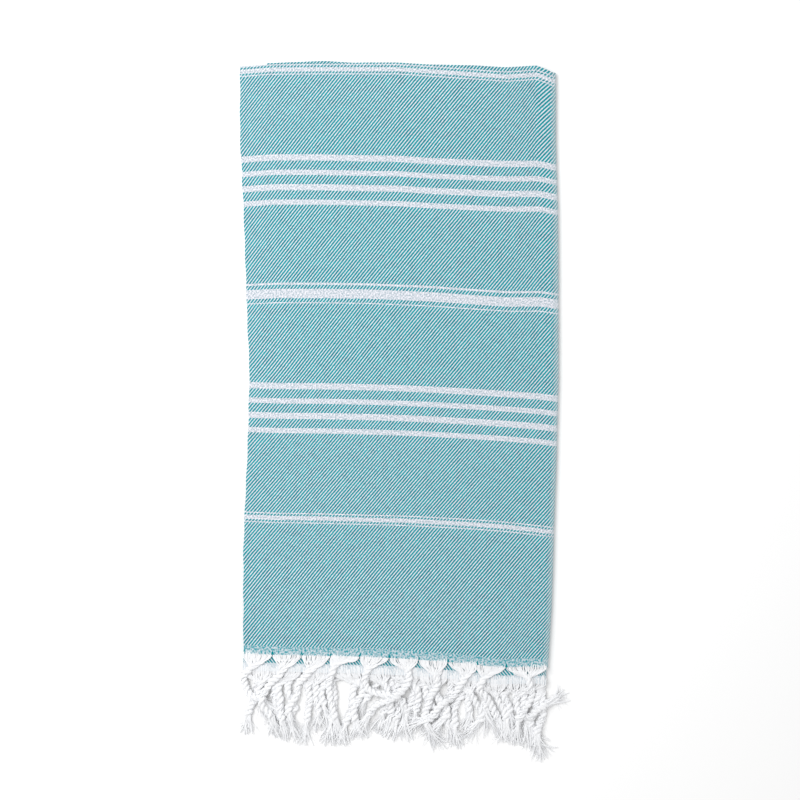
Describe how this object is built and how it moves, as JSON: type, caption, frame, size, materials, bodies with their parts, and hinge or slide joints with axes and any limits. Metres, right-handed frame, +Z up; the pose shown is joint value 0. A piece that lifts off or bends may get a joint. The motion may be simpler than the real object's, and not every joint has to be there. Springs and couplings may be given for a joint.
{
  "type": "fringed bath towel",
  "caption": "Flat-woven striped cotton bath towel, folded in four and lying flat, with twisted and knotted tassels along both hems; the front leaf opens at the book fold.",
  "frame": {"origin": "centre of the folded cloth (without its fringe) on the surface that it rests on", "axes": "+X from the selvedges to the book fold, +Y from the hems up to the cross fold, +Z up from the resting surface"},
  "size_m": [0.5218, 1.088, 0.0116],
  "materials": {
    "striped_twill": "soft matt cotton twill, white warp and teal weft, with white cross stripes",
    "plain_heading": "matt plain weave, paler than the twill",
    "fringe_cotton": "matt twisted white cotton yarn with frayed ends"
  },
  "bodies": {
    "back_leaf": {"back_cloth": "striped_twill", "heading_back_inner": "plain_heading", "heading_back_outer": "plain_heading", "tassel_back_inner_01": "fringe_cotton", "tassel_back_inner_02": "fringe_cotton", "tassel_back_inner_03": "fringe_cotton", "tassel_back_inner_04": "fringe_cotton", "tassel_back_inner_05": "fringe_cotton", "tassel_back_inner_06": "fringe_cotton", "tassel_back_inner_07": "fringe_cotton", "tassel_back_inner_08": "fringe_cotton", "tassel_back_inner_09": "fringe_cotton", "tassel_back_inner_10": "fringe_cotton", "tassel_back_outer_01": "fringe_cotton", "tassel_back_outer_02": "fringe_cotton", "tassel_back_outer_03": "fringe_cotton", "tassel_back_outer_04": "fringe_cotton", "tassel_back_outer_05": "fringe_cotton", "tassel_back_outer_06": "fringe_cotton", "tassel_back_outer_07": "fringe_cotton", "tassel_back_outer_08": "fringe_cotton", "tassel_back_outer_09": "fringe_cotton", "tassel_back_outer_10": "fringe_cotton"},
    "front_leaf": {"front_cloth": "striped_twill", "heading_front_outer": "plain_heading", "heading_front_inner": "plain_heading", "tassel_front_outer_01": "fringe_cotton", "tassel_front_outer_02": "fringe_cotton", "tassel_front_outer_03": "fringe_cotton", "tassel_front_outer_04": "fringe_cotton", "tassel_front_outer_05": "fringe_cotton", "tassel_front_outer_06": "fringe_cotton", "tassel_front_outer_07": "fringe_cotton", "tassel_front_outer_08": "fringe_cotton", "tassel_front_outer_09": "fringe_cotton", "tassel_front_outer_10": "fringe_cotton", "tassel_front_inner_01": "fringe_cotton", "tassel_front_inner_02": "fringe_cotton", "tassel_front_inner_03": "fringe_cotton", "tassel_front_inner_04": "fringe_cotton", "tassel_front_inner_05": "fringe_cotton", "tassel_front_inner_06": "fringe_cotton", "tassel_front_inner_07": "fringe_cotton", "tassel_front_inner_08": "fringe_cotton", "tassel_front_inner_09": "fringe_cotton", "tassel_front_inner_10": "fringe_cotton"}
  },
  "joints": [
    {"name": "book_fold", "type": "hinge", "parent": "back_leaf", "child": "front_leaf", "pos_m": [0.24289, 0, 0.0058], "axis": [0, 1, 0], "range_deg": [0, 180]}
  ]
}
